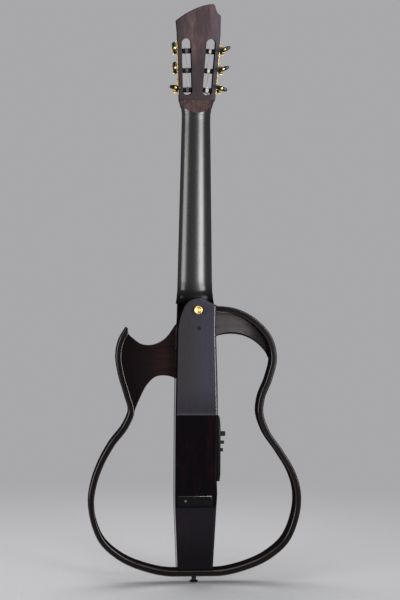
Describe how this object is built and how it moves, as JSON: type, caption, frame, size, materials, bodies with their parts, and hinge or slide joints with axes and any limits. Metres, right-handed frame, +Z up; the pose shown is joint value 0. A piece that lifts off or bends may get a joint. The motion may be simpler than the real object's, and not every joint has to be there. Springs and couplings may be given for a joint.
{
  "type": "silent guitar",
  "caption": "Slim-bodied nylon-string guitar with open bent-wood outline frames, a slotted head with worm-geared tuners, side controls and a sliding battery tray.",
  "frame": {"origin": "on the instrument's centre plane, at the underside of the two bent frames where they meet under the tail, half way between the fingerboard side and the back", "axes": "+Z up the neck towards the head, +Y towards the player's body (the back), +X towards the treble side with the cutaway"},
  "size_m": [0.3808, 0.0804, 1.0316],
  "materials": {
    "dark_wood": "satin dark brown stain over maple",
    "core_wood": "satin translucent black-brown lacquer",
    "red_wood": "satin dark red-brown stain",
    "head_wood": "satin purple-brown stain",
    "ebony": "oiled, nearly black",
    "bone": "ivory, fine satin",
    "gold": "gold plated, polished",
    "brass": "bare brass, machined",
    "black_plastic": "black, satin",
    "gloss_black": "black, high gloss",
    "soft_black": "black, soft touch",
    "chrome": "nickel plated",
    "black_steel": "blackened steel",
    "circuit_green": "green solder mask",
    "battery_wrap": "plain dark metal case",
    "nylon": "clear white nylon",
    "wound_silver": "silver-plated winding"
  },
  "bodies": {
    "guitar": {"bass_frame": "dark_wood", "bass_wing": "red_wood", "battery_bay": "black_plastic", "bridge": "ebony", "circuit_board": "circuit_green", "control_panel": "black_plastic", "core_block": "core_wood", "end_pin": "black_steel", "fingerboard": "ebony", "head_veneer": "ebony", "headstock": "head_wood", "neck": "dark_wood", "neck_bolt": "black_steel", "nut": "bone", "output_jack": "chrome", "phones_jack": "chrome", "piezo_pickup": "soft_black", "saddle": "bone", "strap_button": "gold", "string_1": "nylon", "string_2": "nylon", "string_3": "nylon", "string_4": "wound_silver", "string_5": "wound_silver", "string_6": "wound_silver", "treble_frame": "dark_wood", "treble_wing": "red_wood", "tuner_plate_bass": "gold", "tuner_plate_treble": "gold"},
    "knob_1": {"worm_1": "gold", "tuner_knob_1": "gloss_black"},
    "roller_1": {"roller_1": "black_plastic", "gear_1": "brass"},
    "knob_2": {"worm_2": "gold", "tuner_knob_2": "gloss_black"},
    "roller_2": {"roller_2": "black_plastic", "gear_2": "brass"},
    "knob_3": {"worm_3": "gold", "tuner_knob_3": "gloss_black"},
    "roller_3": {"roller_3": "black_plastic", "gear_3": "brass"},
    "knob_4": {"worm_4": "gold", "tuner_knob_4": "gloss_black"},
    "roller_4": {"roller_4": "black_plastic", "gear_4": "brass"},
    "knob_5": {"worm_5": "gold", "tuner_knob_5": "gloss_black"},
    "roller_5": {"roller_5": "black_plastic", "gear_5": "brass"},
    "knob_6": {"worm_6": "gold", "tuner_knob_6": "gloss_black"},
    "roller_6": {"roller_6": "black_plastic", "gear_6": "brass"},
    "volume": {"volume_knob": "soft_black"},
    "tone": {"tone_knob": "soft_black"},
    "effect": {"effect_button": "soft_black"},
    "tray": {"battery_drawer": "gloss_black", "battery": "battery_wrap"}
  },
  "joints": [
    {"name": "knob_turn_1", "type": "hinge", "parent": "guitar", "child": "knob_1", "pos_m": [0.04112, -0.01068, 0.87299], "axis": [0, 0.9781, -0.2079], "continuous": true},
    {"name": "roller_turn_1", "type": "hinge", "parent": "guitar", "child": "roller_1", "pos_m": [0.03307, -0.012, 0.86675], "axis": [0.9986, -0.011, -0.0518], "continuous": true},
    {"name": "knob_turn_2", "type": "hinge", "parent": "guitar", "child": "knob_2", "pos_m": [0.04294, -0.00353, 0.90659], "axis": [0, 0.9781, -0.2079], "continuous": true},
    {"name": "roller_turn_2", "type": "hinge", "parent": "guitar", "child": "roller_2", "pos_m": [0.0349, -0.00486, 0.90035], "axis": [0.9986, -0.011, -0.0518], "continuous": true},
    {"name": "knob_turn_3", "type": "hinge", "parent": "guitar", "child": "knob_3", "pos_m": [0.04476, 0.00361, 0.9402], "axis": [0, 0.9781, -0.2079], "continuous": true},
    {"name": "roller_turn_3", "type": "hinge", "parent": "guitar", "child": "roller_3", "pos_m": [0.03672, 0.00228, 0.93395], "axis": [0.9986, -0.011, -0.0518], "continuous": true},
    {"name": "knob_turn_4", "type": "hinge", "parent": "guitar", "child": "knob_4", "pos_m": [-0.04476, 0.00361, 0.9402], "axis": [0, 0.9781, -0.2079], "continuous": true},
    {"name": "roller_turn_4", "type": "hinge", "parent": "guitar", "child": "roller_4", "pos_m": [-0.03672, 0.00228, 0.93395], "axis": [0.9986, 0.011, 0.0518], "continuous": true},
    {"name": "knob_turn_5", "type": "hinge", "parent": "guitar", "child": "knob_5", "pos_m": [-0.04294, -0.00353, 0.90659], "axis": [0, 0.9781, -0.2079], "continuous": true},
    {"name": "roller_turn_5", "type": "hinge", "parent": "guitar", "child": "roller_5", "pos_m": [-0.0349, -0.00486, 0.90035], "axis": [0.9986, 0.011, 0.0518], "continuous": true},
    {"name": "knob_turn_6", "type": "hinge", "parent": "guitar", "child": "knob_6", "pos_m": [-0.04112, -0.01068, 0.87299], "axis": [0, 0.9781, -0.2079], "continuous": true},
    {"name": "roller_turn_6", "type": "hinge", "parent": "guitar", "child": "roller_6", "pos_m": [-0.03307, -0.012, 0.86675], "axis": [0.9986, 0.011, 0.0518], "continuous": true},
    {"name": "volume_turn", "type": "hinge", "parent": "guitar", "child": "volume", "pos_m": [-0.0465, -0.002, 0.252], "axis": [-1, 0, 0], "range_deg": [-150, 150]},
    {"name": "tone_turn", "type": "hinge", "parent": "guitar", "child": "tone", "pos_m": [-0.0465, -0.002, 0.2365], "axis": [-1, 0, 0], "range_deg": [-150, 150]},
    {"name": "effect_press", "type": "slide", "parent": "guitar", "child": "effect", "axis": [1, 0, 0], "range_m": [0, 0.0012], "stiffness_N_per_m": 400, "springref_m": -0.001},
    {"name": "tray_pull", "type": "slide", "parent": "guitar", "child": "tray", "axis": [0, 1, 0], "range_m": [0, 0.03]}
  ],
  "couplings": [
    {"joint": "roller_turn_1", "follows": "knob_turn_1", "ratio": 0.071429},
    {"joint": "roller_turn_2", "follows": "knob_turn_2", "ratio": 0.071429},
    {"joint": "roller_turn_3", "follows": "knob_turn_3", "ratio": 0.071429},
    {"joint": "roller_turn_4", "follows": "knob_turn_4", "ratio": 0.071429},
    {"joint": "roller_turn_5", "follows": "knob_turn_5", "ratio": 0.071429},
    {"joint": "roller_turn_6", "follows": "knob_turn_6", "ratio": 0.071429}
  ]
}
